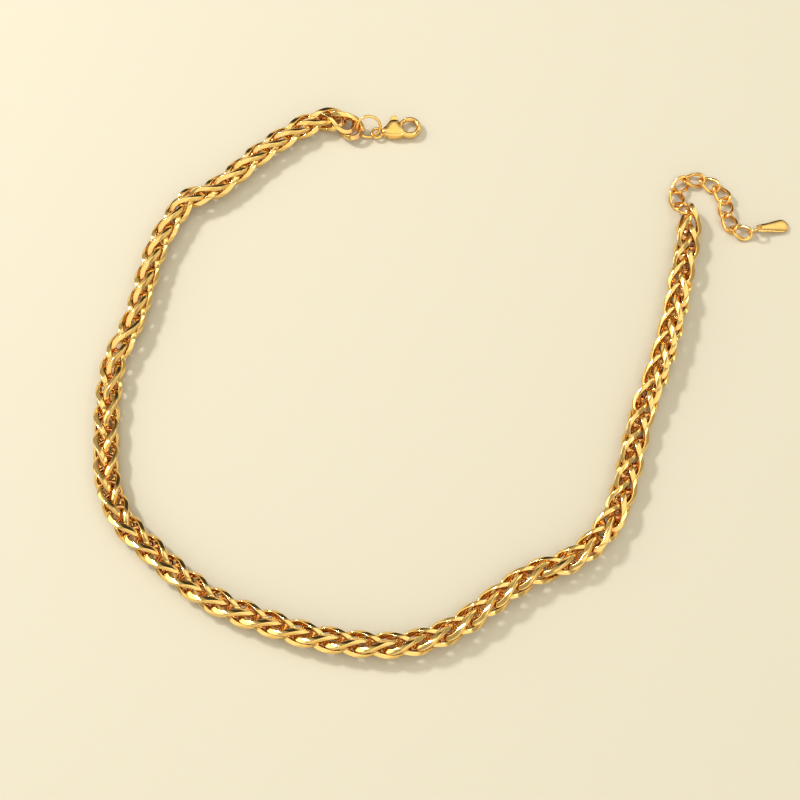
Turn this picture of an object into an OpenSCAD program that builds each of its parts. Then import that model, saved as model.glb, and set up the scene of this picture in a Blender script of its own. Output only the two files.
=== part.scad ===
/* [Wheat chain] */
// Width of the chain across the face that shows the V of its links
chain_w = 6.3; // [6.2:0.05:6.4]
// Thickness of the chain behind that face
chain_t = 5; // [4.9:0.05:5.1]
// Thickness of the wire that its links are bent from
link_wire = 1.25; // [1.15:0.05:1.3]
// Links in the longer of the chain's two rows
row_links = 54; // [52:1:56]
// Slack between one link and the next of its row
link_slack = 0.1; // [0.05:0.05:0.15]
// Solid stretches that show the woven links
stretches = 18; // [16:1:20]

/* [Clasp] */
// Thickness of the clasp's body, which lies flat
clasp_t = 2.8; // [2.7:0.1:3]
// Thickness of the claw's round wire
claw_wire = 1.5; // [1.4:0.05:1.6]
// Radius of the claw's curve, to the middle of its wire
claw_r = 2.5; // [2.45:0.05:2.6]
// Radius of the rivet that the lever turns on
rivet_r = 0.4; // [0.35:0.05:0.45]
// Running clearance between the rivet and the lever
rivet_clearance = 0.05; // [0.03:0.01:0.08]

/* [Rings] */
// Outer diameter of the jump ring that holds the clasp
clasp_ring_d = 7; // [6.9:0.05:7]
// Wire of the clasp's jump ring
clasp_ring_wire = 0.8; // [0.7:0.05:0.85]
// Outer diameter of the ring that holds the extender
extender_ring_d = 6; // [5.9:0.05:6]
// Wire of the extender's ring
extender_ring_wire = 0.9; // [0.8:0.05:0.95]
// Outer diameter of the small ring that holds the tag
tag_ring_d = 4; // [3.9:0.05:4]
// Wire of the tag's ring
tag_ring_wire = 0.65; // [0.6:0.05:0.7]

/* [Extender] */
// Distance from one extender link to the next
extender_pitch = 4.4; // [4.35:0.05:4.45]
// Outer width of an extender link
extender_w = 4.3; // [4.2:0.05:4.4]
// Wire of the extender links
extender_wire = 0.9; // [0.8:0.05:0.9]
// Turn of each end of an extender link out of its flat middle
extender_twist = 44; // [42:1:46]

/* [Tag] */
// Length from the tag's eye to the middle of its round end
tag_reach = 6.3; // [5.9:0.1:6.6]
// Radius of the tag's round end
tag_r = 1.85; // [1.7:0.05:2]
// Radius of the tag round its eye
tag_eye_r = 1.25; // [1.2:0.05:1.3]
// Radius of the tag's eye
tag_hole_r = 0.75; // [0.7:0.05:0.8]
// Thickness of the tag
tag_t = 0.9; // [0.8:0.05:0.95]

/* [Hidden] */
$fn = 64;
gold = [0.85, 0.64, 0.27];

// The chain's middle line seen from above, from its clasp end to its extender end: x, y
route = [
    [-24.5, 65.5], [-28.5, 69.5], [-33.5, 71.5], [-40.5, 68], [-47.5, 63],
    [-53.5, 58], [-58.5, 52.5], [-63, 48.5], [-67, 47], [-71.5, 45],
    [-73.5, 40], [-76.5, 34], [-78.5, 27], [-80.5, 17], [-82.5, 8],
    [-85.5, 3], [-86.5, -4], [-87, -13], [-86.5, -22], [-86, -30],
    [-84, -37], [-80.5, -43.5], [-73.5, -50], [-67, -56], [-58, -62.5],
    [-47, -67], [-35, -71], [-22, -73], [-12, -73], [-1.5, -69.5],
    [7.5, -63], [15.5, -57], [20.5, -54.5], [26, -53.5], [32, -49],
    [37, -43], [40.5, -35], [43, -26], [46, -15], [50, -5.5],
    [53, 2.5], [56.5, 14], [59, 25], [61, 33], [62.3, 44.6]
];
// How far the weave is rolled round the middle line: share of the length, degrees
roll_rows = [
    [0, 5], [0.02, 4], [0.06, -18], [0.12, -26], [0.25, -30], [0.34, -4],
    [0.42, 0], [0.5, 12], [0.56, 23], [0.74, 23], [0.78, -12],
    [0.83, -14], [0.87, 22], [0.93, 26], [0.96, -14], [0.98, -6], [1, -5]
];
spline_steps = 8;

function unit(v) = v / norm(v);
function spline(a, b, c, d, t) =
    0.5 * (2 * b + (c - a) * t + (2 * a - 5 * b + 4 * c - d) * t * t
    + (3 * b - a - 3 * c + d) * t * t * t);
function route_row(i) =
    i < 0 ? 2 * route[0] - route[1]
    : i >= len(route) ? 2 * route[len(route) - 1] - route[len(route) - 2]
    : route[i];
curve = [
    for (i = [0 : len(route) - 2], j = [0 : spline_steps - 1])
        spline(route_row(i - 1), route_row(i), route_row(i + 1), route_row(i + 2), j / spline_steps),
    route[len(route) - 1]
];
lengths = [
    for (i = 0, s = 0; i < len(curve); i = i + 1, s = s + (i < len(curve) ? norm(curve[i] - curve[i - 1]) : 0)) s
];
x_rows = [for (i = [0 : len(curve) - 1]) [lengths[i], curve[i][0]]];
y_rows = [for (i = [0 : len(curve) - 1]) [lengths[i], curve[i][1]]];
chain_len = lengths[len(curve) - 1];
heading_step = 0.6;

// Half spread of a link's wire to the sides of the chain and behind its face
oval_power = 2.6;
oval_share = 0.86;
link_b = (chain_w - link_wire) / 2 / oval_share;
link_c = (chain_t - link_wire) / 2 / oval_share;
function oval_width(x) = pow(max(0, 1 - pow(abs(x), oval_power)), 1 / oval_power);

// Place, direction and weave axes of the chain at the length s, where it rests on the ground
function roll(s) = lookup(s / chain_len, roll_rows);
rest_allowance = 0.023;
function rest_height(turn) = rest_allowance + link_wire / 2 + max([for (x = [0 : 0.1 : 1])
    let (angle = 45 * (x + 1))
    oval_width(x) * (link_b * cos(angle) * abs(sin(turn)) + link_c * sin(angle) * cos(turn))
]);
function place(s) = [lookup(s, x_rows), lookup(s, y_rows), rest_height(roll(s))];
function level_way(s) =
    let (t = place(min(s + heading_step, chain_len)) - place(max(s - heading_step, 0)))
    unit([t[0], t[1], 0]);
function weave_up(s) =
    let (t = level_way(s))
    cos(roll(s)) * [0, 0, 1] + sin(roll(s)) * [-t[1], t[0], 0];
function weave_side(s) = cross(weave_up(s), level_way(s));

// Links of the chain: an oval of two half lengths, twisted a quarter turn from end to end
pitch = (chain_len - 2 * link_wire - link_slack) / row_links;
link_a = (pitch + link_wire + link_slack) / 2;
first_middle = link_a + link_wire / 2;

// Radius of the woven surface at the angle q and the length s: the strands stand out of a core
core_share = 0.62;
strand_w = 1.6;
function core_r(q) = core_share * norm([link_b * cos(q), link_c * sin(q)]);
function strand_r(q, at) =
    let (angle = atan2(at[1], at[0]), r = norm(at), off = r * sin(q - angle) / (strand_w / 2))
    cos(q - angle) > 0 && abs(off) < 1 ? r * cos(q - angle) + link_wire / 2 * sqrt(1 - off * off) : 0;
function row_r(q, s, row) =
    max([for (k = [-1 : 0])
        let (
            nearest = floor((s - first_middle - row * pitch / 2) / pitch) + k + 1,
            x = (s - first_middle - row * pitch / 2 - nearest * pitch) / link_a,
            inside = abs(x) < 1 && nearest >= 0 && nearest < row_links - row,
            quarter = 45 * (x + 1),
            angle = row == 0 ? 180 - quarter : quarter,
            at = inside ? oval_width(x) * [link_b * cos(angle), link_c * sin(angle)] : [0, 0]
        )
        max(strand_r(q, at), strand_r(q, -at))
    ]);
function woven_r(q, s) = max(core_r(q), row_r(q, s, 0), row_r(q, s, 1));

stretch_sides = 18;
pitch_rings = 6;
half_link_lead = 1.4;
stretch_start = pitch / 2 + half_link_lead;
stretch_len = (chain_len - 2 * stretch_start) / stretches;
stretch_rings = round(pitch_rings * stretch_len / pitch);
function woven_ring(s) =
    let (up = weave_up(s), side = weave_side(s), at = place(s))
    [for (j = [0 : stretch_sides - 1])
        let (q = 360 * j / stretch_sides, r = woven_r(q, s))
        at + r * (cos(q) * side + sin(q) * up)
    ];

// Faces of a skin over rings of points, closed with a fan at each end, or joined end to end
function skin_faces(rings, sides, looped) =
    let (last = looped ? rings - 1 : rings - 2, first_hub = rings * sides)
    concat(
        [for (i = [0 : last], j = [0 : sides - 1])
            let (i2 = (i + 1) % rings, j2 = (j + 1) % sides)
            [i * sides + j, i2 * sides + j, i2 * sides + j2]
        ],
        [for (i = [0 : last], j = [0 : sides - 1])
            let (i2 = (i + 1) % rings, j2 = (j + 1) % sides)
            [i * sides + j, i2 * sides + j2, i * sides + j2]
        ],
        looped ? [] : [for (j = [0 : sides - 1]) [first_hub, j, (j + 1) % sides]],
        looped ? [] : [for (j = [0 : sides - 1])
            [first_hub + 1, (rings - 1) * sides + (j + 1) % sides, (rings - 1) * sides + j]
        ]
    );
function flat(rows) = [for (row = rows, p = row) p];
function middle(points) = [for (i = [0 : 2]) [for (p = points) p[i]] * [for (p = points) 1] / len(points)];
module skin(rings, looped) {
    hubs = looped ? [] : [middle(rings[0]), middle(rings[len(rings) - 1])];
    polyhedron(concat(flat(rings), hubs), skin_faces(len(rings), len(rings[0]), looped), convexity = 10);
}

// One stretch of the woven chain, between two cuts square to the route
module chain_stretch(n) {
    from = stretch_start + (n - 1) * stretch_len;
    rings = [for (i = [0 : stretch_rings]) woven_ring(from + stretch_len * i / stretch_rings)];
    color(gold) skin(rings, false);
}

// Rings of a round wire that follows a path, with a reference normal for each point
function wire_rings(path, normals, wire, sides, looped) =
    [for (i = [0 : len(path) - 1])
        let (
            before = path[looped ? (i + len(path) - 1) % len(path) : max(i - 1, 0)],
            after = path[looped ? (i + 1) % len(path) : min(i + 1, len(path) - 1)],
            t = unit(after - before),
            n = unit(normals[i] - (normals[i] * t) * t),
            b = cross(t, n)
        )
        [for (j = [0 : sides - 1]) path[i] + wire / 2 * (cos(360 * j / sides) * n + sin(360 * j / sides) * b)]
    ];
function signed_power(v, power) = sign(v) * pow(abs(v), power);
// Middle of a link's wire at the angle q round its oval: along the link, across it
function oval_point(a, b, q) =
    [a * signed_power(cos(q), 2 / oval_power), b * signed_power(sin(q), 2 / oval_power)];

// The chain's outermost link at each end: its free half, cut where the woven stretches begin
end_link_sides = 10;
end_link_rings = 22;
cut_gap = 0.04;
module end_link(at_clasp) {
    middle_s = at_clasp ? first_middle : chain_len - first_middle;
    cut_s = at_clasp ? stretch_start - cut_gap : chain_len - stretch_start + cut_gap;
    cut_x = cut_s - middle_s;
    q_cut = acos(signed_power(cut_x / link_a, oval_power / 2));
    q_from = at_clasp ? q_cut : -q_cut;
    q_to = at_clasp ? 360 - q_cut : q_cut;
    oval = [for (i = [0 : end_link_rings - 1])
        oval_point(link_a, 1, q_from + (q_to - q_from) * i / (end_link_rings - 1))
    ];
    turns = [for (p = oval) 180 - 45 * (p[0] / link_a + 1)];
    path = [for (i = [0 : len(oval) - 1])
        let (s = middle_s + oval[i][0])
        place(s) + oval[i][1] * link_b * cos(turns[i]) * weave_side(s)
            + oval[i][1] * link_c * sin(turns[i]) * weave_up(s)
    ];
    normals = [for (i = [0 : len(oval) - 1])
        let (s = middle_s + oval[i][0])
        -sin(turns[i]) * weave_side(s) + cos(turns[i]) * weave_up(s)
    ];
    tube = wire_rings(path, normals, link_wire, end_link_sides, false);
    ends = [0, end_link_rings - 1];
    rings = [for (i = [0 : end_link_rings - 1])
        i != ends[0] && i != ends[1] ? tube[i]
        : let (
            t = unit(path[i == 0 ? 1 : i] - path[i == 0 ? 0 : i - 1]),
            square = level_way(cut_s)
        )
        [for (p = tube[i]) p - t * ((p - place(cut_s)) * square) / (t * square)]
    ];
    color(gold) skin(rings, false);
}

// A round ring: where its middle is, how far it leans from flat, and the way it then faces
module seated_ring(at, lean, facing, diameter, wire) {
    translate(at) rotate([0, lean, facing])
        rotate_extrude() translate([(diameter - wire) / 2, 0]) circle(d = wire);
}

// Jump ring from the chain's first link to the clasp's tail ring
clasp_ring_at = [-22.42, 67.99, 3.11];
clasp_ring_lean = 59.6;
clasp_ring_facing = -85.3;
module clasp_ring() {
    color(gold)
        seated_ring(clasp_ring_at, clasp_ring_lean, clasp_ring_facing, clasp_ring_d, clasp_ring_wire);
}

// The clasp lies flat; its own measures run from the middle of its tail ring towards the claw
clasp_at = [-20.19, 67.06, 0];
clasp_turn = 5;
tail_r = 1.45;
tail_wire = 0.7;
claw_at = [8.85, 1];
claw_from = -150;
claw_to = 110;
mouth_gap = 0.3;
pivot_at = [4.9, 1.9];
cheek_t = 0.6;
hub_r = 1.15;
lever_wire = 1.2;
lever_side_gap = 0.05;
slot_from = 3.2;
slot_floor = 0.2;
slot_len = 3.8;
rivet_fit = 0.02;
neck_half_w = 0.7;
claw_bite = 0.35;
shank_outline = [
    [1.5, -neck_half_w], [3.4, -1.7], [5.8, -2], [7.4, -1.3], [7.3, 0.6],
    [6.3, 2.2], [5.7, 3.1], [3.9, 3.1], [2.6, 1.6], [1.5, neck_half_w]
];
module on_clasp() {
    translate(clasp_at) rotate([0, 0, clasp_turn]) children();
}
module rivet_hole(radius) {
    translate([pivot_at[0], pivot_at[1], -clasp_t]) cylinder(h = 3 * clasp_t, r = radius);
}
module claw_arc(from, to, wire) {
    translate([claw_at[0], claw_at[1], clasp_t / 2]) rotate([0, 0, from])
        rotate_extrude(angle = to - from) translate([claw_r, 0]) circle(d = wire);
}
module clasp_body() {
    color(gold) on_clasp() difference() {
        union() {
            translate([0, 0, clasp_t / 2]) rotate_extrude() translate([tail_r, 0]) circle(d = tail_wire);
            difference() {
                linear_extrude(clasp_t) polygon(shank_outline);
                translate([claw_at[0], claw_at[1], -clasp_t])
                    cylinder(h = 3 * clasp_t, r = claw_r - claw_bite);
            }
            claw_arc(claw_from, claw_to, claw_wire);
        }
        translate([slot_from, slot_floor, cheek_t]) cube([slot_len, slot_len, clasp_t - 2 * cheek_t]);
        rivet_hole(rivet_r + rivet_fit);
    }
}

// Lever: a hub on the rivet, a thumb tab, and an arm that closes the mouth of the claw
lever_t = clasp_t - 2 * cheek_t - 2 * lever_side_gap;
mouth_turn = mouth_gap / claw_r * 180 / PI;
tab_outline = [[-1.1, 0.2], [-0.9, 2.1], [-0.3, 2.75], [0.6, 2.75], [1, 1.9], [1.1, 0]];
arm_to = 168;
module clasp_lever() {
    color(gold) on_clasp() difference() {
        union() {
            translate([pivot_at[0], pivot_at[1], cheek_t + lever_side_gap]) {
                cylinder(h = lever_t, r = hub_r);
                linear_extrude(lever_t) polygon(tab_outline);
            }
            claw_arc(claw_to + mouth_turn, arm_to, lever_wire);
        }
        rivet_hole(rivet_r + rivet_clearance);
    }
}
module clasp_rivet() {
    color(gold) on_clasp() translate([pivot_at[0], pivot_at[1], 0]) cylinder(h = clasp_t, r = rivet_r);
}

// Ring from the chain's last link to the extender
extender_ring_at = [60.84, 43.65, 1.9];
extender_ring_lean = 33.2;
extender_ring_facing = 64.9;
module extender_ring() {
    color(gold) seated_ring(
        extender_ring_at, extender_ring_lean, extender_ring_facing, extender_ring_d, extender_ring_wire
    );
}

// Extender links: each spans two hooking points, and points the way that its heading gives
extender_start = [59.5, 44.89];
extender_headings = [95.6, 48, 2, -34, -58, -97, -70, -23];
extender_links = len(extender_headings);
extender_z = 1.175;
extender_slack = 0.3;
extender_hook = extender_wire + extender_slack;
extender_a = (extender_pitch + extender_hook) / 2;
extender_b = (extender_w - extender_wire) / 2;
extender_sides = 8;
extender_rings = 24;
function heading_way(n) = [cos(extender_headings[n]), sin(extender_headings[n]), 0];
hook_points = [
    for (n = 0, p = [extender_start[0], extender_start[1], extender_z];
        n <= extender_links;
        p = p + (n < extender_links ? extender_pitch * heading_way(n) : [0, 0, 0]), n = n + 1) p
];
module extender_link(n) {
    way = heading_way(n - 1);
    side = cross([0, 0, 1], way);
    at = (hook_points[n - 1] + hook_points[n]) / 2;
    oval = [for (i = [0 : extender_rings - 1]) oval_point(extender_a, extender_b, 360 * i / extender_rings)];
    turns = [for (p = oval) extender_twist * p[0] / extender_a];
    path = [for (i = [0 : extender_rings - 1])
        at + oval[i][0] * way + oval[i][1] * (cos(turns[i]) * side + [0, 0, sin(turns[i])])
    ];
    normals = [for (turn = turns) -sin(turn) * side + [0, 0, cos(turn)]];
    color(gold) skin(wire_rings(path, normals, extender_wire, extender_sides, true), true);
}

// Small ring from the last extender link to the tag
tag_ring_at = [78.71, 37.1, 1.98];
tag_ring_lean = 70.5;
tag_ring_facing = 112.5;
module tag_ring() {
    color(gold) seated_ring(tag_ring_at, tag_ring_lean, tag_ring_facing, tag_ring_d, tag_ring_wire);
}

// Drop tag: it leans down from the ring in its eye until its round end rests on the ground
tag_eye_at = [80.33, 37.88, 1.69];
tag_turn = 11;
tag_lean = asin((tag_eye_at[2] - tag_t / 2) / (tag_reach + tag_r));
tag_edge = 90 + asin((tag_r - tag_eye_r) / tag_reach);
tag_arc_steps = 24;
function arc(at, radius, from, to) = [for (i = [0 : tag_arc_steps])
    let (q = from + (to - from) * i / tag_arc_steps)
    at + radius * [cos(q), sin(q)]
];
module tag() {
    color(gold) translate(tag_eye_at) rotate([0, tag_lean, tag_turn]) translate([0, 0, -tag_t / 2])
        difference() {
            linear_extrude(tag_t) polygon(concat(
                arc([0, 0], tag_eye_r, tag_edge, 360 - tag_edge),
                arc([tag_reach, 0], tag_r, -tag_edge, tag_edge)
            ));
            translate([0, 0, -tag_t]) cylinder(h = 3 * tag_t, r = tag_hole_r);
        }
}

// The middle of the whole outline, seen from above, becomes the origin
outline_middle = [-0.905, -0.997];
module centred() {
    translate([-outline_middle[0], -outline_middle[1], 0]) children();
}

function numbered(name, n) = str(name, n < 10 ? "0" : "", n);

for (n = [1 : stretches]) centred() chain_stretch(n);
centred() end_link(true);  // end_link_clasp
centred() end_link(false);  // end_link_extender
centred() clasp_ring();
centred() clasp_body();
centred() clasp_lever();
centred() clasp_rivet();
centred() extender_ring();
for (n = [1 : extender_links])
    centred() extender_link(n);
centred() tag_ring();
centred() tag();
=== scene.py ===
import math
import random
import bmesh
import bpy
import numpy as np
from mathutils import Matrix, Vector


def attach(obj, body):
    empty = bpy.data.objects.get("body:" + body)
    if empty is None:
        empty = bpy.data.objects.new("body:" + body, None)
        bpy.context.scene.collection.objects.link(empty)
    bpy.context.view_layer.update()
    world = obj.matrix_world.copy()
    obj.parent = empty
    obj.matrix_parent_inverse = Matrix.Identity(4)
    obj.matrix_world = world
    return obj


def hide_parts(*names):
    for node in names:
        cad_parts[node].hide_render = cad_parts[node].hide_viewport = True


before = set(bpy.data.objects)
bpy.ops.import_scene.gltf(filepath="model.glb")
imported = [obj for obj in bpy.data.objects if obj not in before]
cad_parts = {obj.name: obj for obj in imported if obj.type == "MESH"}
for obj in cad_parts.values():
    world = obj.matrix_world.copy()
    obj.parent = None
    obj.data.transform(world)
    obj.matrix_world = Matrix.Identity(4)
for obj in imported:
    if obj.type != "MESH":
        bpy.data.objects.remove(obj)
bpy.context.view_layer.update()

mm = 0.001                          # sizes below are millimetres, meshes are metres
outlineMiddle = (-0.905, -0.997)    # point of the route's own grid that is the origin here
sharpAngle = math.radians(60)       # an edge that turns further than this is eased
fullTurn = 2 * math.pi
random.seed(7)


def signedPower(value, power):
    return math.copysign(abs(value) ** power, value)


def turnBy(degrees, axis, size=4):
    return Matrix.Rotation(math.radians(degrees), size, axis)


def standingCircle(bm, sides, radius=1, capped=False):
    # circle round the origin that stands in the XZ plane
    ring = bmesh.ops.create_circle(bm, cap_ends=capped, segments=sides, radius=radius)["verts"]
    bmesh.ops.rotate(bm, verts=ring, cent=(0, 0, 0), matrix=turnBy(90, "X", 3))
    return ring


def sweepRound(bm, ring, radius, steps, angle=fullTurn):
    # sets a standing circle out to its radius and spins it round Z; a full turn closes on itself
    bmesh.ops.translate(bm, verts=ring, vec=(radius, 0, 0))
    bmesh.ops.spin(bm, geom=bm.verts[:] + bm.edges[:] + bm.faces[:], cent=(0, 0, 0), axis=(0, 0, 1),
                   angle=angle, steps=steps, use_merge=angle == fullTurn)


def finishPiece(bm, name, material, body, node):
    # the faces have moved since they were made, so their normals are renewed before the outside is found
    bm.normal_update()
    bmesh.ops.recalc_face_normals(bm, faces=bm.faces)
    # from millimetres on the route's grid to metres round the origin
    bmesh.ops.translate(bm, verts=bm.verts, vec=(-outlineMiddle[0], -outlineMiddle[1], 0))
    bmesh.ops.scale(bm, verts=bm.verts, vec=(mm, mm, mm))
    mesh = bpy.data.meshes.new(name)
    bm.to_mesh(mesh)
    bm.free()
    for face in mesh.polygons:
        face.use_smooth = True
    piece = bpy.data.objects.new(name, mesh)
    bpy.context.collection.objects.link(piece)
    piece.data.materials.append(material)
    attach(piece, body)
    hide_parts(node)


# gold finishes

goldLook = {
    # the chain's second colour is painted shade for the inside of its weave
    "chain": {"colour": (0.91, 0.65, 0.245), "roughness": 0.09, "mottle": 0.04, "grain": 0.05,
              "paintedShade": (0.7, 0.39, 0.16)},
    "fittings": {"colour": (0.92, 0.61, 0.2), "roughness": 0.15, "mottle": 0.05, "grain": 0.08},
    "extender": {"colour": (0.94, 0.59, 0.19), "roughness": 0.13, "mottle": 0.05, "grain": 0.08},
    "tag": {"colour": (0.92, 0.62, 0.22), "roughness": 0.18, "mottle": 0.06, "grain": 0.1},
}
goldPattern = {
    "polishScale": 900, "polishDetail": 3,
    "tintScale": 260, "tintDetail": 2, "tintFrom": 0.3, "tintTo": 0.7, "deepening": (0.94, 0.88, 0.78),
    "markScale": 2600, "markDetail": 2, "markShare": 0.25, "waveScale": 420, "waveDetail": 2,
    "bumpDistance": 0.1,
}


def addNoise(tree, where, scale, detail):
    noise = tree.nodes.new("ShaderNodeTexNoise")
    noise.inputs["Scale"].default_value = scale
    noise.inputs["Detail"].default_value = detail
    tree.links.new(where.outputs["Object"], noise.inputs["Vector"])
    return noise.outputs["Fac"]


def makeGold(name, look):
    pattern = goldPattern
    material = bpy.data.materials.new(name)
    material.use_nodes = True
    tree = material.node_tree
    nodes, links = tree.nodes, tree.links
    shader = nodes["Principled BSDF"]
    shader.inputs["Base Color"].default_value = (*look["colour"], 1)
    shader.inputs["Metallic"].default_value = 1
    where = nodes.new("ShaderNodeTexCoord")

    # polish that varies a little from place to place
    cloud = addNoise(tree, where, pattern["polishScale"], pattern["polishDetail"])
    polish = nodes.new("ShaderNodeMapRange")
    polish.inputs["To Min"].default_value = look["roughness"] - look["mottle"]
    polish.inputs["To Max"].default_value = look["roughness"] + look["mottle"]
    links.new(cloud, polish.inputs["Value"])
    links.new(polish.outputs["Result"], shader.inputs["Roughness"])

    # plating a little deeper in colour here and there
    tint = addNoise(tree, where, pattern["tintScale"], pattern["tintDetail"])
    ramp = nodes.new("ShaderNodeValToRGB")
    deep, plain = ramp.color_ramp.elements
    deep.position = pattern["tintFrom"]
    deep.color = (*[channel * shade for channel, shade in zip(look["colour"], pattern["deepening"])], 1)
    plain.position = pattern["tintTo"]
    plain.color = (*look["colour"], 1)
    links.new(tint, ramp.inputs["Fac"])
    if "paintedShade" in look:
        # painted shade: the weave's inside gets a darker, browner colour that stands in for the shade
        # among the links, fading to the plain metal on its outside
        unshaded = nodes.new("ShaderNodeAttribute")
        unshaded.attribute_name = "unshaded"
        mix = nodes.new("ShaderNodeMix")
        mix.data_type = "RGBA"
        mix.inputs["A"].default_value = (*look["paintedShade"], 1)
        links.new(unshaded.outputs["Fac"], mix.inputs["Factor"])
        links.new(ramp.outputs["Color"], mix.inputs["B"])
        links.new(mix.outputs["Result"], shader.inputs["Base Color"])
    else:
        links.new(ramp.outputs["Color"], shader.inputs["Base Color"])

    # fine handling marks and the soft waviness that polishing leaves
    marks = addNoise(tree, where, pattern["markScale"], pattern["markDetail"])
    wave = addNoise(tree, where, pattern["waveScale"], pattern["waveDetail"])
    both = nodes.new("ShaderNodeMath")
    both.operation = "MULTIPLY_ADD"
    both.inputs[1].default_value = pattern["markShare"]
    bump = nodes.new("ShaderNodeBump")
    bump.inputs["Strength"].default_value = look["grain"]
    bump.inputs["Distance"].default_value = pattern["bumpDistance"] * mm
    links.new(marks, both.inputs[0])
    links.new(wave, both.inputs[2])
    links.new(both.outputs["Value"], bump.inputs["Height"])
    links.new(bump.outputs["Normal"], shader.inputs["Normal"])
    return material


chainGold = makeGold("chainGold", goldLook["chain"])
fittingGold = makeGold("fittingGold", goldLook["fittings"])
extenderGold = makeGold("extenderGold", goldLook["extender"])
tagGold = makeGold("tagGold", goldLook["tag"])
print("gold finishes made")


# links: each starts as a plain ring, whose points tell the angle along the link and round its wire

blankRadius = 3


def ringBlank(sides, steps):
    bm = bmesh.new()
    sweepRound(bm, standingCircle(bm, sides), blankRadius, steps)
    return bm


def blankAngles(place):
    along = math.atan2(place.y, place.x)
    return along, math.atan2(place.z, math.hypot(place.x, place.y) - blankRadius)


# wheat chain: two rows of twisted oval links, every link whole

wheatChain = {
    "width": 6.3, "thickness": 5.0, "wire": 1.25, "slack": 0.1,
    "rowLinks": 54, "stretches": 18,
    "halfLinkLead": 1.4,            # the first stretch starts this far past half a pitch
    "ovalPower": 2.6, "ovalShare": 0.86,
    "bandWidth": 1.35, "bandThickness": 1.15, "bandPower": 6, "bandLean": 45, "bandReach": 0.77,
    "overreach": 1.2,               # how much longer a link is than one that reaches only its neighbour
    # the last two set where the painted shade inside the weave fades out, as shares of its half width and
    # thickness
    "turnEase": 0.55, "unshadedFrom": 0.45, "unshadedTo": 0.8,
    "pathSteps": 60, "bandSides": 24,
    "rigidity": 0.65,               # 0 lets a link bend with the route, 1 keeps it straight
    "rollJitter": 2.0, "splineSteps": 8, "headingStep": 0.6, "frameStep": 0.01,
    "restAllowance": 0.023, "restSamples": 11, "footEase": 0.3,
}
# the chain's middle line seen from above, from its clasp end to its extender end
chainRoute = [
    (-24.5, 65.5), (-28.5, 69.5), (-33.5, 71.5), (-40.5, 68), (-47.5, 63),
    (-53.5, 58), (-58.5, 52.5), (-63, 48.5), (-67, 47), (-71.5, 45),
    (-73.5, 40), (-76.5, 34), (-78.5, 27), (-80.5, 17), (-82.5, 8),
    (-85.5, 3), (-86.5, -4), (-87, -13), (-86.5, -22), (-86, -30),
    (-84, -37), (-80.5, -43.5), (-73.5, -50), (-67, -56), (-58, -62.5),
    (-47, -67), (-35, -71), (-22, -73), (-12, -73), (-1.5, -69.5),
    (7.5, -63), (15.5, -57), (20.5, -54.5), (26, -53.5), (32, -49),
    (37, -43), (40.5, -35), (43, -26), (46, -15), (50, -5.5),
    (53, 2.5), (56.5, 14), (59, 25), (61, 33), (62.3, 44.6),
]
# how far the weave is rolled round the middle line: share of the length, degrees
weaveRoll = [
    (0, 5), (0.02, 4), (0.06, -26), (0.12, -38), (0.22, -42), (0.28, -30),
    (0.34, 6), (0.42, 14), (0.5, 23), (0.56, 31), (0.74, 31), (0.78, -12),
    (0.83, -14), (0.87, 34), (0.93, 30), (0.96, -14), (0.98, -6), (1, -5),
]


def splinePoint(a, b, c, d, t):
    return 0.5 * (2 * b + (c - a) * t + (2 * a - 5 * b + 4 * c - d) * t ** 2
                  + (3 * b - a - 3 * c + d) * t ** 3)


def smoothRoute(points, steps):
    # points of a smooth curve through the route, and the length from its start to each
    rows = [np.array(point, float) for point in points]
    rows = [2 * rows[0] - rows[1], *rows, 2 * rows[-1] - rows[-2]]
    curve = [
        splinePoint(rows[i - 1], rows[i], rows[i + 1], rows[i + 2], j / steps)
        for i in range(1, len(rows) - 2) for j in range(steps)
    ]
    curve.append(rows[-2])
    gaps = [np.linalg.norm(after - before) for before, after in zip(curve, curve[1:])]
    return np.array(curve), np.concatenate([[0], np.cumsum(gaps)])


routeCurve, routeLength = smoothRoute(chainRoute, wheatChain["splineSteps"])
chainLength = float(routeLength[-1])
linkWidth = (wheatChain["width"] / 2 - wheatChain["bandReach"]) / wheatChain["ovalShare"]
linkHeight = (wheatChain["thickness"] / 2 - wheatChain["bandReach"]) / wheatChain["ovalShare"]
linkPitch = (chainLength - 2 * wheatChain["wire"] - wheatChain["slack"]) / wheatChain["rowLinks"]
hookReach = (linkPitch + wheatChain["wire"] + wheatChain["slack"]) / 2
linkReach = hookReach * wheatChain["overreach"]
firstMiddle = hookReach + wheatChain["wire"] / 2
endMiddle = linkReach + wheatChain["wire"] / 2     # keeps the end links within the chain's length


def ovalWidth(x):
    return max(0, 1 - abs(x) ** wheatChain["ovalPower"]) ** (1 / wheatChain["ovalPower"])


def chainRollAt(s):
    shares, turns = zip(*weaveRoll)
    return math.radians(float(np.interp(s / chainLength, shares, turns)))


def restHeight(roll):
    # height of the middle line at which the rolled links just touch the surface
    spread = max(
        ovalWidth(x) * (linkWidth * math.cos(angle) * abs(math.sin(roll))
                        + linkHeight * math.sin(angle) * math.cos(roll))
        for x in np.linspace(0, 1, wheatChain["restSamples"]) for angle in [math.pi / 4 * (x + 1)]
    )
    return wheatChain["restAllowance"] + wheatChain["bandReach"] + spread


def chainMiddle(s):
    x = float(np.interp(s, routeLength, routeCurve[:, 0]))
    y = float(np.interp(s, routeLength, routeCurve[:, 1]))
    return Vector((x, y, restHeight(chainRollAt(s))))


def chainAxes(s, extraRoll):
    # side, up and way of the weave at the length s
    step = wheatChain["headingStep"]
    way = chainMiddle(min(s + step, chainLength)) - chainMiddle(max(s - step, 0))
    way.z = 0
    way.normalize()
    roll = chainRollAt(s) + extraRoll
    up = math.cos(roll) * Vector((0, 0, 1)) + math.sin(roll) * Vector((-way.y, way.x, 0))
    return up.cross(way), up, way


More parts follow.
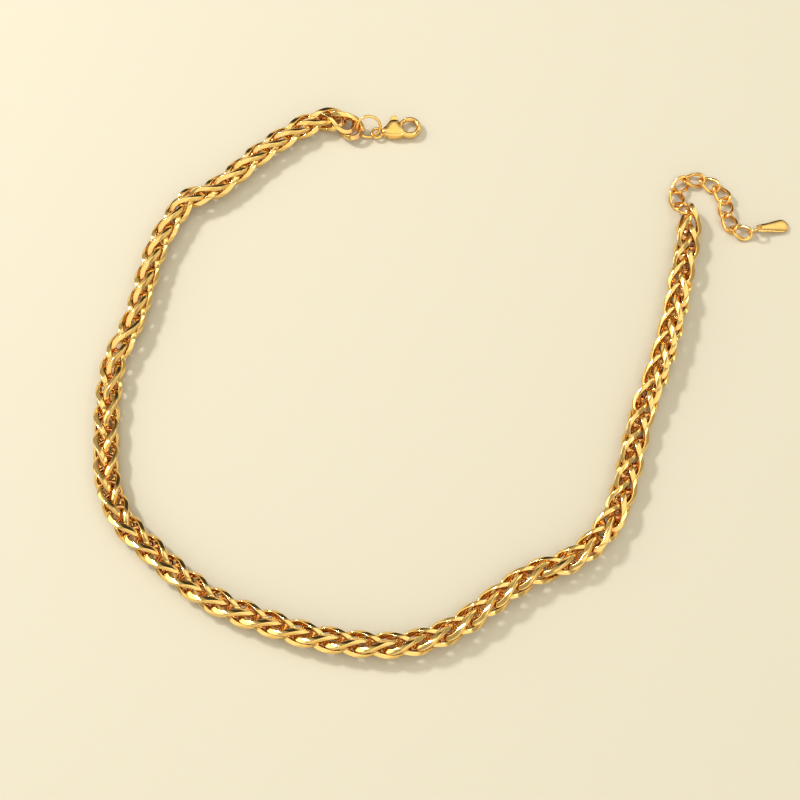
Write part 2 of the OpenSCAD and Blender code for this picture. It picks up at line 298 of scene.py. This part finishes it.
def unshadedShare(y, z):
    # share of plain colour against the painted shade of the weave's inside: 0 in the middle of the weave,
    # 1 on its outside
    reach = math.hypot(2 * y / wheatChain["width"], 2 * z / wheatChain["thickness"])
    share = (reach - wheatChain["unshadedFrom"]) / (wheatChain["unshadedTo"] - wheatChain["unshadedFrom"])
    return min(max(share, 0), 1)


def linkTurn(x, row):
    # quarter turn of the oval from end to end, quickest at its middle
    share = (x + 1) / 2
    eased = share * share * (3 - 2 * share)
    quarter = math.pi / 2 * (share + wheatChain["turnEase"] * (eased - share))
    return quarter if row else math.pi - quarter


def linkMiddle(q, row):
    # middle of the wire at the angle q
    power = 2 / wheatChain["ovalPower"]
    x = signedPower(math.cos(q), power)
    spread = signedPower(math.sin(q), power)
    turn = linkTurn(x, row)
    return Vector((linkReach * x, spread * linkWidth * math.cos(turn),
                   spread * linkHeight * math.sin(turn)))


def linkFrame(q, row):
    # middle of the wire, its way out of the oval and its way across
    step = wheatChain["frameStep"]
    power = 2 / wheatChain["ovalPower"]
    tangent = (linkMiddle(q + step, row) - linkMiddle(q - step, row)).normalized()
    turn = linkTurn(signedPower(math.cos(q), power), row)
    reach = math.hypot(linkWidth * math.cos(turn), linkHeight * math.sin(turn))
    outX = signedPower(math.cos(q), 2 - power) / linkReach
    outR = signedPower(math.sin(q), 2 - power) / reach ** 2
    outward = Vector((outX, outR * linkWidth * math.cos(turn), outR * linkHeight * math.sin(turn)))
    outward = (outward - outward.dot(tangent) * tangent).normalized()
    return linkMiddle(q, row), outward, tangent.cross(outward)


def twistedLink(row):
    # one link in the weave's own space: x along the chain, y to its side, z up out of its face
    bm = ringBlank(wheatChain["bandSides"], wheatChain["pathSteps"])
    lean = math.radians(wheatChain["bandLean"])
    edge = 2 / wheatChain["bandPower"]
    for vert in bm.verts:
        q, section = blankAngles(vert.co)
        middle, outward, sideways = linkFrame(q, row)
        thick = wheatChain["bandThickness"] / 2 * signedPower(math.cos(section), edge)
        wide = wheatChain["bandWidth"] / 2 * signedPower(math.sin(section), edge)
        out = thick * math.cos(lean) - wide * math.sin(lean)
        across = thick * math.sin(lean) + wide * math.cos(lean)
        vert.co = middle + out * outward + across * sideways
    # painted shade: each point keeps how clear it is of the darker colour painted into the weave's inside
    unshaded = bm.verts.layers.float.new("unshaded")
    for vert in bm.verts:
        vert[unshaded] = unshadedShare(vert.co.y, vert.co.z)
    blank = bpy.data.meshes.new("linkBlank")
    bm.to_mesh(blank)
    bm.free()
    return blank


def layLink(bm, blank, s, extraRoll):
    # seats one link: partly straight between its two hooking points, partly bent with the route
    s = min(max(s, endMiddle), chainLength - endMiddle)
    first = len(bm.verts)
    bm.from_mesh(blank)
    bm.verts.ensure_lookup_table()
    hook = linkReach - wheatChain["wire"] / 2
    back, front = chainMiddle(max(s - hook, 0)), chainMiddle(min(s + hook, chainLength))
    way = (front - back).normalized()
    side = chainAxes(s, extraRoll)[0]
    side = (side - side.dot(way) * way).normalized()
    up = way.cross(side)
    centre = (back + front) / 2
    stiff = wheatChain["rigidity"]
    ease = wheatChain["footEase"]
    for vert in bm.verts[first:]:
        x, y, z = vert.co
        straight = centre + x * way + y * side + z * up
        at = min(max(s + x, 0), chainLength)
        bendSide, bendUp, bendWay = chainAxes(at, extraRoll)
        bent = chainMiddle(at) + (s + x - at) * bendWay + y * bendSide + z * bendUp
        vert.co = stiff * straight + (1 - stiff) * bent
        if vert.co.z < ease:
            # the lowest metal is flattened where it would dip into the surface
            vert.co.z = ease * math.exp((vert.co.z - ease) / ease)


def makeChain():
    blanks = [twistedLink(0), twistedLink(1)]
    leadIn = linkPitch / 2 + wheatChain["halfLinkLead"]
    stretchLength = (chainLength - 2 * leadIn) / wheatChain["stretches"]
    places = {}
    for row, count in ((0, wheatChain["rowLinks"]), (1, wheatChain["rowLinks"] - 1)):
        for k in range(count):
            s = firstMiddle + (k + row / 2) * linkPitch
            stretch = math.floor((s - leadIn) / stretchLength) + 1
            places.setdefault(stretch, []).append((s, row))
    for stretch, links in sorted(places.items()):
        bm = bmesh.new()
        for s, row in sorted(links):
            extraRoll = math.radians(random.uniform(-1, 1) * wheatChain["rollJitter"])
            layLink(bm, blanks[row], s, extraRoll)
        if stretch < 1:
            name, node = "endLinkClasp", "end_link_clasp"
        elif stretch > wheatChain["stretches"]:
            name, node = "endLinkExtender", "end_link_extender"
        else:
            name, node = "chainLinks_%02d" % stretch, "chain_%02d" % stretch
        finishPiece(bm, name, chainGold, "necklace", node)
    print("chain laid,", sum(len(links) for links in places.values()), "links")


makeChain()


# jump rings with their sawn joint

ringSet = {
    "claspRing": {"node": "clasp_ring", "at": (-22.42, 67.99, 3.11), "lean": 59.6, "facing": -85.3,
                  "diameter": 7, "wire": 0.8, "joint": 80, "finish": fittingGold},
    "extenderRing": {"node": "extender_ring", "at": (60.84, 43.65, 1.9), "lean": 33.2, "facing": 64.9,
                     "diameter": 6, "wire": 0.9, "joint": 140, "finish": extenderGold},
    "tagRing": {"node": "tag_ring", "at": (78.71, 37.1, 1.98), "lean": 70.5, "facing": 112.5,
                "diameter": 4, "wire": 0.65, "joint": 200, "finish": extenderGold},
}
ringMesh = {"jointGap": 0.04, "steps": 72, "sides": 16}


def makeRing(name, ring):
    bm = bmesh.new()
    radius = (ring["diameter"] - ring["wire"]) / 2
    section = standingCircle(bm, ringMesh["sides"], ring["wire"] / 2, capped=True)
    sweepRound(bm, section, radius, ringMesh["steps"], fullTurn - ringMesh["jointGap"] / radius)
    tilt = turnBy(ring["facing"], "Z") @ turnBy(ring["lean"], "Y")
    seat = Matrix.Translation(ring["at"]) @ tilt @ turnBy(ring["joint"], "Z")
    bmesh.ops.transform(bm, matrix=seat, verts=bm.verts)
    finishPiece(bm, name, ring["finish"], "necklace", ring["node"])


for name, ring in ringSet.items():
    makeRing(name, ring)
print("rings made")


# extender: open curb links, each end turned out of the flat middle

extenderChain = {
    "pitch": 4.4, "width": 4.3, "wire": 0.9, "slack": 0.3, "twist": 44,
    "start": (59.5, 44.89), "height": 1.175, "headings": [95.6, 48, 2, -34, -58, -97, -70, -23],
    "ovalPower": 2.6, "bandPower": 2.4, "pathSteps": 44, "bandSides": 14,
}


def curbLink(at, heading):
    bm = ringBlank(extenderChain["bandSides"], extenderChain["pathSteps"])
    reach = (extenderChain["pitch"] + extenderChain["wire"] + extenderChain["slack"]) / 2
    spread = (extenderChain["width"] - extenderChain["wire"]) / 2
    power = 2 / extenderChain["ovalPower"]
    roundness = 2 / extenderChain["bandPower"]
    for vert in bm.verts:
        q, section = blankAngles(vert.co)
        out = extenderChain["wire"] / 2 * signedPower(math.cos(section), roundness)
        lift = extenderChain["wire"] / 2 * signedPower(math.sin(section), roundness)
        normal = Vector((signedPower(math.cos(q), 2 - power) / reach,
                         signedPower(math.sin(q), 2 - power) / spread))
        normal.normalize()
        x = reach * signedPower(math.cos(q), power) + out * normal.x
        y = spread * signedPower(math.sin(q), power) + out * normal.y
        turn = math.radians(extenderChain["twist"]) * min(max(x / reach, -1), 1)
        vert.co = (x, y * math.cos(turn) - lift * math.sin(turn),
                   y * math.sin(turn) + lift * math.cos(turn))
    seat = Matrix.Translation(at) @ Matrix.Rotation(heading, 4, "Z")
    bmesh.ops.transform(bm, matrix=seat, verts=bm.verts)
    return bm


def makeExtender():
    hook = Vector((*extenderChain["start"], extenderChain["height"]))
    for n, degrees in enumerate(extenderChain["headings"], 1):
        heading = math.radians(degrees)
        nextHook = hook + extenderChain["pitch"] * Vector((math.cos(heading), math.sin(heading), 0))
        bm = curbLink((hook + nextHook) / 2, heading)
        finishPiece(bm, "extenderLink_%02d" % n, extenderGold, "necklace", "extender_link_%02d" % n)
        hook = nextHook
    print("extender laid")


makeExtender()


# shapes melted together and cut, as a casting is

def addShape(bm, shape):
    # joins a second bmesh into the first
    carrier = bpy.data.meshes.new("carrier")
    shape.to_mesh(carrier)
    shape.free()
    bm.from_mesh(carrier)
    bpy.data.meshes.remove(carrier)


def baked(bm, name, addModifiers):
    # runs modifiers over a bmesh and gives back the result as a new one
    mesh = bpy.data.meshes.new(name)
    bmesh.ops.recalc_face_normals(bm, faces=bm.faces)
    bm.to_mesh(mesh)
    bm.free()
    blank = bpy.data.objects.new(name, mesh)
    bpy.context.collection.objects.link(blank)
    helpers = addModifiers(blank)
    shaped = blank.evaluated_get(bpy.context.evaluated_depsgraph_get()).to_mesh()
    result = bmesh.new()
    result.from_mesh(shaped)
    for helper in (blank, *helpers):
        bpy.data.objects.remove(helper)
    return result


def fuse(bm, voxel, smoothing):
    # melts overlapping shapes into one cast form
    def remeshAndSmooth(blank):
        remesh = blank.modifiers.new("remesh", "REMESH")
        remesh.mode = "VOXEL"
        remesh.voxel_size = voxel
        soften = blank.modifiers.new("soften", "SMOOTH")
        soften.factor = 0.5
        soften.iterations = smoothing
        return []
    return baked(bm, "casting", remeshAndSmooth)


def carve(bm, cutters):
    # cuts each cutter out of the form
    def cutAll(blank):
        tools = []
        for cutter in cutters:
            toolMesh = bpy.data.meshes.new("cutter")
            cutter.to_mesh(toolMesh)
            cutter.free()
            tool = bpy.data.objects.new("cutter", toolMesh)
            bpy.context.collection.objects.link(tool)
            cut = blank.modifiers.new("cut", "BOOLEAN")
            cut.operation = "DIFFERENCE"
            cut.solver = "EXACT"
            cut.object = tool
            tools.append(tool)
        return tools
    return baked(bm, "carving", cutAll)


def easeEdges(bm, width, steps, clamp=True):
    sharp = [edge for edge in bm.edges
             if len(edge.link_faces) == 2 and edge.calc_face_angle() > sharpAngle]
    bmesh.ops.bevel(bm, geom=sharp, offset=width, offset_type="OFFSET", segments=steps, profile=0.5,
                    affect="EDGES", material=-1, clamp_overlap=clamp)


def arcPoints(middle, radius, start, stop, steps):
    return [
        (middle[0] + radius * math.cos(angle), middle[1] + radius * math.sin(angle), 0)
        for angle in np.radians(np.linspace(start, stop, steps + 1))
    ]


def roundedLoop(points, steps):
    # closed curve through the points
    rows = [np.array(point, float) for point in points]
    return [
        (*splinePoint(rows[i - 2], rows[i - 1], rows[i], rows[(i + 1) % len(rows)], j / steps), 0)
        for i in range(len(rows)) for j in range(steps)
    ]


def closedLoop(bm, points):
    verts = [bm.verts.new(point) for point in points]
    return [bm.edges.new((a, b)) for a, b in zip(verts, verts[1:] + verts[:1])]


def plateFromLoops(loops, thickness):
    # fills between flat loops and gives the plate its thickness
    bm = bmesh.new()
    edges = [edge for points in loops for edge in closedLoop(bm, points)]
    bmesh.ops.triangle_fill(bm, use_beauty=True, use_dissolve=False, edges=edges)
    grown = bmesh.ops.extrude_face_region(bm, geom=bm.faces[:])
    lifted = [item for item in grown["geom"] if isinstance(item, bmesh.types.BMVert)]
    bmesh.ops.translate(bm, verts=lifted, vec=(0, 0, thickness))
    bmesh.ops.recalc_face_normals(bm, faces=bm.faces)
    return bm


# drop tag: a flat drop, eased all round its edge, that leans on its ring

dropTag = {
    "eye": (80.33, 37.88, 1.69), "turn": 11, "reach": 6.3, "thickness": 0.9,
    "endRadius": 1.85, "eyeRadius": 1.0, "holeRadius": 0.68, "arcSteps": 24,
    "easing": 0.2, "easingSteps": 4, "voxel": 0.06, "smoothing": 24,
    "crown": 0.5,                   # share of the thickness that the faces lose at the edge
    "waist": 0.06, "waistPace": 1.25,
    "gridTurn": 37,                 # degrees between its length and the grid that it melts on
}


def makeTag():
    tag = dropTag
    edgeAngle = 90 + math.degrees(math.asin((tag["endRadius"] - tag["eyeRadius"]) / tag["reach"]))
    steps = tag["arcSteps"]
    outline = (arcPoints((0, 0), tag["eyeRadius"], edgeAngle, 360 - edgeAngle, steps)
               + arcPoints((tag["reach"], 0), tag["endRadius"], -edgeAngle, edgeAngle, steps))
    hole = arcPoints((0, 0), tag["holeRadius"], 0, 360, steps)[:-1]
    plate = plateFromLoops([outline, hole], tag["thickness"])
    easeEdges(plate, tag["easing"], tag["easingSteps"])
    # turned while it melts, so that no long side runs along the voxels' grid
    bmesh.ops.rotate(plate, verts=plate.verts, matrix=turnBy(tag["gridTurn"], "Z", 3))
    bm = fuse(plate, tag["voxel"], tag["smoothing"])
    bmesh.ops.rotate(bm, verts=bm.verts, matrix=turnBy(-tag["gridTurn"], "Z", 3))
    middle = tag["thickness"] / 2
    for vert in bm.verts:
        # sides drawn in between the eye and the round end, faces crowned across and towards the end
        share = min(max(vert.co.x / tag["reach"], 0), 1)
        vert.co.y *= 1 - tag["waist"] * math.sin(math.pi * min(share * tag["waistPace"], 1)) ** 2
        halfWidth = tag["eyeRadius"] + (tag["endRadius"] - tag["eyeRadius"]) * share
        across = min(abs(vert.co.y) / halfWidth, 1)
        along = max(vert.co.x - tag["reach"], 0) / tag["endRadius"]
        vert.co.z = middle + (vert.co.z - middle) * (1 - tag["crown"] * min(across ** 2 + along ** 2, 1))
    lean = math.asin((tag["eye"][2] - middle) / (tag["reach"] + tag["endRadius"]))
    seat = (Matrix.Translation(tag["eye"]) @ turnBy(tag["turn"], "Z") @ Matrix.Rotation(lean, 4, "Y")
            @ Matrix.Translation((0, 0, -middle)))
    bmesh.ops.transform(bm, matrix=seat, verts=bm.verts)
    finishPiece(bm, "dropTag", tagGold, "necklace", "tag")
    print("tag made")


makeTag()


# lobster clasp, measured from the middle of its tail ring towards the claw

clasp = {
    "at": (-20.19, 67.06, 0), "turn": 5, "thickness": 2.8, "voxel": 0.075, "smoothing": 18,
    "tailRadius": 1.45, "tailWire": 0.7, "tailSquash": 1.35, "tailSides": 20, "tailSteps": 48,
    "clawMiddle": (8.85, 1), "clawRadius": 2.5, "clawFrom": -150, "clawTo": 110,
    "clawWire": 1.5, "clawTaper": 0.12,        # width of the claw's wire and what it loses at its tip
    "clawDeep": 2.3, "clawTip": 1.35,          # depth of the claw's wire at its root and its tip
    "clawSides": 20, "clawSteps": 56,
    "outline": [(1.5, -0.7), (3.4, -1.7), (5.8, -2), (7.4, -1.3), (7.3, 0.6),
                (6.3, 2.2), (5.7, 3.1), (3.9, 3.1), (2.6, 1.6), (1.5, 0.7)],
    "outlineSteps": 4,
    "bodyCrown": 1.7,                          # how far in from the edge the cheeks rise
    "bodySide": ((-1.6, 0.42), (1.4, 0.74)),   # height left at the lower and the upper edge
    "clawBite": 0.35, "biteLength": 8, "biteSides": 64,
    "slotFrom": 3.2, "slotFloor": 0.2, "slotLength": 3.8, "cheek": 0.6,
    "pivot": (4.9, 1.9), "boreLength": 9,
}
lever = {
    "thickness": 1.5, "hubRadius": 1.15, "hubSides": 40, "clearance": 0.05,
    "from": 113.5, "to": 168, "wire": 1.2, "tipShare": 0.7, "tipLength": 0.25,
    "armSides": 16, "armSteps": 20,
    "tab": [(-1.1, 0.2), (-0.9, 2.1), (-0.3, 2.75), (0.6, 2.75), (1, 1.9), (1.1, 0)],
    "tabSteps": 3, "easing": 0.22, "easingSteps": 3, "voxel": 0.06, "smoothing": 4,
}
rivet = {"radius": 0.4, "fit": 0.02, "easing": 0.08, "easingSteps": 3}
claspHalf = clasp["thickness"] / 2


def onClasp(bm):
    seat = Matrix.Translation(clasp["at"]) @ turnBy(clasp["turn"], "Z")
    bmesh.ops.transform(bm, matrix=seat, verts=bm.verts)
    return bm


def hookShape(start, stop, wireAt, depthAt, sides, steps):
    # wire bent round the claw's middle; wireAt and depthAt give its width and depth along the bend
    bm = bmesh.new()
    startRadius = 10
    bend = math.radians(stop - start)
    sweepRound(bm, standingCircle(bm, sides, capped=True), startRadius, steps, bend)
    for vert in bm.verts:
        angle = math.atan2(vert.co.y, vert.co.x) % fullTurn
        share = min(angle / bend, 1)
        out = math.hypot(vert.co.x, vert.co.y) - startRadius
        reach = clasp["clawRadius"] + out * wireAt(share) / 2
        turned = angle + math.radians(start)
        vert.co = (reach * math.cos(turned), reach * math.sin(turned), vert.co.z * depthAt(share) / 2)
    bmesh.ops.translate(bm, verts=bm.verts, vec=(*clasp["clawMiddle"], claspHalf))
    return bm


def drum(radius, length, middle, sides=32):
    # round bar that stands through the clasp
    bm = bmesh.new()
    bmesh.ops.create_cone(bm, cap_ends=True, segments=sides, radius1=radius, radius2=radius, depth=length)
    bmesh.ops.translate(bm, verts=bm.verts, vec=(*middle, claspHalf))
    return bm


def edgeDistance(place, loop):
    # how far a place lies from a closed outline, seen from above
    starts = np.array(loop)[:, :2]
    spans = np.roll(starts, -1, axis=0) - starts
    away = np.array(place[:2]) - starts
    along = np.clip((away * spans).sum(axis=1) / (spans ** 2).sum(axis=1), 0, 1)
    return float(np.linalg.norm(away - along[:, None] * spans, axis=1).min())


def crownedBody():
    # body plate with cheeks crowned like a pebble, cut back round the claw's opening
    outline = roundedLoop(clasp["outline"], clasp["outlineSteps"])
    body = fuse(plateFromLoops([outline], clasp["thickness"]), clasp["voxel"], 0)
    for vert in body.verts:
        share = min(edgeDistance(vert.co, outline) / clasp["bodyCrown"], 1)
        edge = float(np.interp(vert.co.y, *zip(*clasp["bodySide"])))
        height = edge + (1 - edge) * math.sqrt(1 - (1 - share) ** 2)
        vert.co.z = claspHalf + (vert.co.z - claspHalf) * height
    bite = drum(clasp["clawRadius"] - clasp["clawBite"], clasp["biteLength"], clasp["clawMiddle"],
                clasp["biteSides"])
    return carve(body, [bite])


def clawHook():
    def widthAt(share):
        return clasp["clawWire"] * (1 - clasp["clawTaper"] * share ** 3)

    def depthAt(share):
        return clasp["clawDeep"] + (clasp["clawTip"] - clasp["clawDeep"]) * share ** 1.5
    return hookShape(clasp["clawFrom"], clasp["clawTo"], widthAt, depthAt,
                     clasp["clawSides"], clasp["clawSteps"])


def tailRing():
    bm = bmesh.new()
    ring = standingCircle(bm, clasp["tailSides"])
    halfWire = clasp["tailWire"] / 2
    bmesh.ops.scale(bm, verts=ring, vec=(halfWire, 1, halfWire * clasp["tailSquash"]))
    sweepRound(bm, ring, clasp["tailRadius"], clasp["tailSteps"])
    bmesh.ops.translate(bm, verts=bm.verts, vec=(0, 0, claspHalf))
    return bm


def leverSlot():
    bm = bmesh.new()
    bmesh.ops.create_cube(bm, size=1)
    size = (clasp["slotLength"], clasp["slotLength"], clasp["thickness"] - 2 * clasp["cheek"])
    corner = (clasp["slotFrom"] + size[0] / 2, clasp["slotFloor"] + size[1] / 2, claspHalf)
    bmesh.ops.scale(bm, verts=bm.verts, vec=size)
    bmesh.ops.translate(bm, verts=bm.verts, vec=corner)
    return bm


def makeClaspBody():
    body = crownedBody()
    addShape(body, clawHook())
    addShape(body, tailRing())
    bore = drum(rivet["radius"] + rivet["fit"], clasp["boreLength"], clasp["pivot"])
    cast = carve(fuse(body, clasp["voxel"], clasp["smoothing"]), [leverSlot(), bore])
    finishPiece(onClasp(cast), "claspBody", fittingGold, "necklace", "clasp_body")


def leverArm():
    def widthAt(share):
        return lever["wire"] * min(lever["tipShare"] + share / lever["tipLength"], 1)

    def depthAt(share):
        return lever["wire"]
    return hookShape(lever["from"], lever["to"], widthAt, depthAt, lever["armSides"], lever["armSteps"])


def makeClaspLever():
    form = plateFromLoops([roundedLoop(lever["tab"], lever["tabSteps"])], lever["thickness"])
    easeEdges(form, lever["easing"], lever["easingSteps"])
    bmesh.ops.translate(form, verts=form.verts,
                        vec=(*clasp["pivot"], claspHalf - lever["thickness"] / 2))
    addShape(form, drum(lever["hubRadius"], lever["thickness"], clasp["pivot"], lever["hubSides"]))
    addShape(form, leverArm())
    bore = drum(rivet["radius"] + lever["clearance"], clasp["boreLength"], clasp["pivot"])
    cast = carve(fuse(form, lever["voxel"], lever["smoothing"]), [bore])
    finishPiece(onClasp(cast), "claspLever", fittingGold, "lever", "clasp_lever")


def makeRivet():
    bm = drum(rivet["radius"], clasp["thickness"], clasp["pivot"])
    easeEdges(bm, rivet["easing"], rivet["easingSteps"], clamp=False)
    finishPiece(onClasp(bm), "claspRivet", fittingGold, "necklace", "clasp_rivet")


makeClaspBody()
makeClaspLever()
makeRivet()
print("clasp made")


# studio: pale floor, soft key from the upper left, camera at the photograph's angle

studio = {
    "floorColour": (0.6, 0.57, 0.475), "floorRoughness": 0.7, "floorSize": 30, "floorDrop": 0.01,
    "roomColour": (1.0, 0.94, 0.79), "roomStrength": 0.47,
}
# lights: where each shines from, and its distance and size in metres
studioLights = {
    "keyLight": {"from": (-0.62, 0.42, 0.72), "distance": 1.1, "size": 0.16, "power": 7.4,
                 "colour": (1.0, 0.97, 0.93)},
    "fillLight": {"from": (0.5, -0.25, 0.8), "distance": 1.3, "size": 0.5, "power": 1.5,
                  "colour": (1.0, 0.97, 0.92)},
}
# darker and brighter parts of the room: towards, full within and gone beyond so many degrees, level
roomPatches = [
    ((-0.85, 0.25, 0.5), 17, 23, 5),
    ((0.1, -0.9, 0.5), 38, 50, 2.8),
    ((0.0, 0.25, 1.0), 22, 27, 3.0),
    ((0.0, 0.95, 0.22), 26, 36, 0.12),
    ((0.9, 0.3, 0.3), 10, 14, 4),
    ((0.5, 0.5, 0.7), 12, 19, 2.8),
]
cameraSet = {
    "aim": (-14, -10, 0), "elevation": 68, "distance": 380,
    "lens": 68, "sensor": 36, "clipStart": 0.01,
}


def makeFloor():
    bm = bmesh.new()
    bmesh.ops.create_grid(bm, x_segments=1, y_segments=1, size=studio["floorSize"] / 2)
    bmesh.ops.translate(bm, verts=bm.verts, vec=(0, 0, -studio["floorDrop"] * mm))
    mesh = bpy.data.meshes.new("floor")
    bm.to_mesh(mesh)
    bm.free()
    floor = bpy.data.objects.new("floor", mesh)
    bpy.context.collection.objects.link(floor)
    material = bpy.data.materials.new("paleFloor")
    material.use_nodes = True
    shader = material.node_tree.nodes["Principled BSDF"]
    shader.inputs["Base Color"].default_value = (*studio["floorColour"], 1)
    shader.inputs["Roughness"].default_value = studio["floorRoughness"]
    floor.data.materials.append(material)


def addAreaLight(name, setting):
    light = bpy.data.lights.new(name, "AREA")
    light.shape = "DISK"
    light.size = setting["size"]
    light.energy = setting["power"]
    light.color = setting["colour"]
    lamp = bpy.data.objects.new(name, light)
    direction = Vector(setting["from"])
    lamp.location = direction.normalized() * setting["distance"]
    lamp.rotation_euler = direction.to_track_quat("Z", "Y").to_euler()
    bpy.context.collection.objects.link(lamp)


def makeWorld():
    # even room light, multiplied by each patch in its own direction
    world = bpy.data.worlds.new("studioWorld")
    world.use_nodes = True
    nodes, links = world.node_tree.nodes, world.node_tree.links
    direction = nodes.new("ShaderNodeTexCoord")
    level = None
    for towards, inner, outer, patchLevel in roomPatches:
        nearness = nodes.new("ShaderNodeVectorMath")
        nearness.operation = "DOT_PRODUCT"
        nearness.inputs[1].default_value = Vector(towards).normalized()
        patch = nodes.new("ShaderNodeMapRange")
        patch.interpolation_type = "SMOOTHSTEP"
        patch.inputs["From Min"].default_value = math.cos(math.radians(outer))
        patch.inputs["From Max"].default_value = math.cos(math.radians(inner))
        patch.inputs["To Min"].default_value = 1
        patch.inputs["To Max"].default_value = patchLevel
        links.new(direction.outputs["Generated"], nearness.inputs[0])
        links.new(nearness.outputs["Value"], patch.inputs["Value"])
        if level is None:
            level = patch.outputs["Result"]
            continue
        both = nodes.new("ShaderNodeMath")
        both.operation = "MULTIPLY"
        links.new(level, both.inputs[0])
        links.new(patch.outputs["Result"], both.inputs[1])
        level = both.outputs["Value"]
    strength = nodes.new("ShaderNodeMath")
    strength.operation = "MULTIPLY"
    strength.inputs[1].default_value = studio["roomStrength"]
    links.new(level, strength.inputs[0])
    links.new(strength.outputs["Value"], nodes["Background"].inputs["Strength"])
    nodes["Background"].inputs["Color"].default_value = (*studio["roomColour"], 1)
    bpy.context.scene.world = world


def makeCamera():
    lens = bpy.data.cameras.new("camera")
    lens.lens = cameraSet["lens"]
    lens.sensor_width = cameraSet["sensor"]
    lens.clip_start = cameraSet["clipStart"]
    camera = bpy.data.objects.new("camera", lens)
    angle = math.radians(cameraSet["elevation"])
    aim = (Vector(cameraSet["aim"]) - Vector((*outlineMiddle, 0))) * mm
    camera.location = aim + cameraSet["distance"] * mm * Vector((0, -math.cos(angle), math.sin(angle)))
    camera.rotation_euler = (math.pi / 2 - angle, 0, 0)
    bpy.context.collection.objects.link(camera)
    bpy.context.scene.camera = camera


makeFloor()
makeWorld()
for name, setting in studioLights.items():
    addAreaLight(name, setting)
bpy.context.scene.view_settings.view_transform = "Standard"
makeCamera()
print("studio ready")
